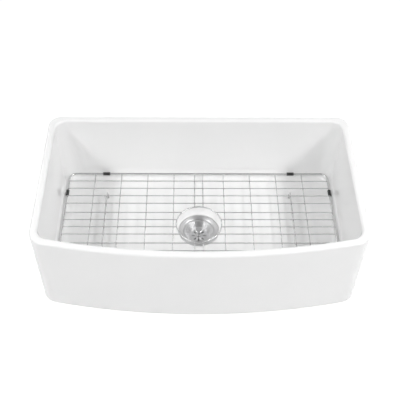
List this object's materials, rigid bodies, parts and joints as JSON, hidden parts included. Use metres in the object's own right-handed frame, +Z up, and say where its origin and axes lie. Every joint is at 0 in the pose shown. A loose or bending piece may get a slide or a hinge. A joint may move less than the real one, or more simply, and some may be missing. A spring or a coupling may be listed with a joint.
{
  "type": "farmhouse apron front sink",
  "caption": "Single-bowl fireclay kitchen sink with a bowed apron front, lift-out wire grid and basket strainer.",
  "frame": {"origin": "on the flat underside, midway between the apron's two front corners", "axes": "+X to the user's right when facing the sink, +Y to the back, +Z up out of the bowl"},
  "size_m": [0.8378, 0.4943, 0.3146],
  "materials": {
    "fireclay": "glossy white glaze",
    "polished_steel": "stainless steel polished in fine rings",
    "steel": "plain turned stainless steel",
    "wire_steel": "drawn and electropolished stainless wire",
    "brass": "cast and turned brass",
    "plated_nut": "chrome-plated die casting",
    "black_rubber": "matt black rubber",
    "grey_rubber": "soft grey vinyl",
    "fibre": "dry pressed fibre",
    "white_plastic": "moulded polythene"
  },
  "bodies": {
    "sink": {"basin": "fireclay", "strainer_body": "polished_steel", "outlet_spigot": "brass", "flange_gasket": "black_rubber", "underside_washer": "black_rubber", "friction_washer": "fibre", "locknut": "brass", "tailpiece_washer": "white_plastic", "coupling_nut": "plated_nut"},
    "grid": {"grid_frame": "wire_steel", "grid_long_wires": "wire_steel", "grid_cross_wires": "wire_steel", "grid_drain_ring": "wire_steel", "grid_runners": "wire_steel", "grid_feet": "grey_rubber", "grid_back_bumpers": "black_rubber", "grid_side_bumpers": "black_rubber", "grid_front_bumpers": "black_rubber"},
    "basket": {"basket": "polished_steel"},
    "knob": {"basket_post": "steel", "basket_knob": "polished_steel", "basket_stopper": "black_rubber", "stopper_washer": "steel", "post_clip": "steel"}
  },
  "joints": [
    {"name": "grid_lift", "type": "slide", "parent": "sink", "child": "grid", "axis": [0, 0, 1], "range_m": [0, 0.235]},
    {"name": "basket_lift", "type": "slide", "parent": "sink", "child": "basket", "axis": [0, 0, 1], "range_m": [0, 0.32]},
    {"name": "knob_turn", "type": "hinge", "parent": "basket", "child": "knob", "pos_m": [0, 0.2155, 0.04], "axis": [0, 0, 1], "continuous": true}
  ]
}
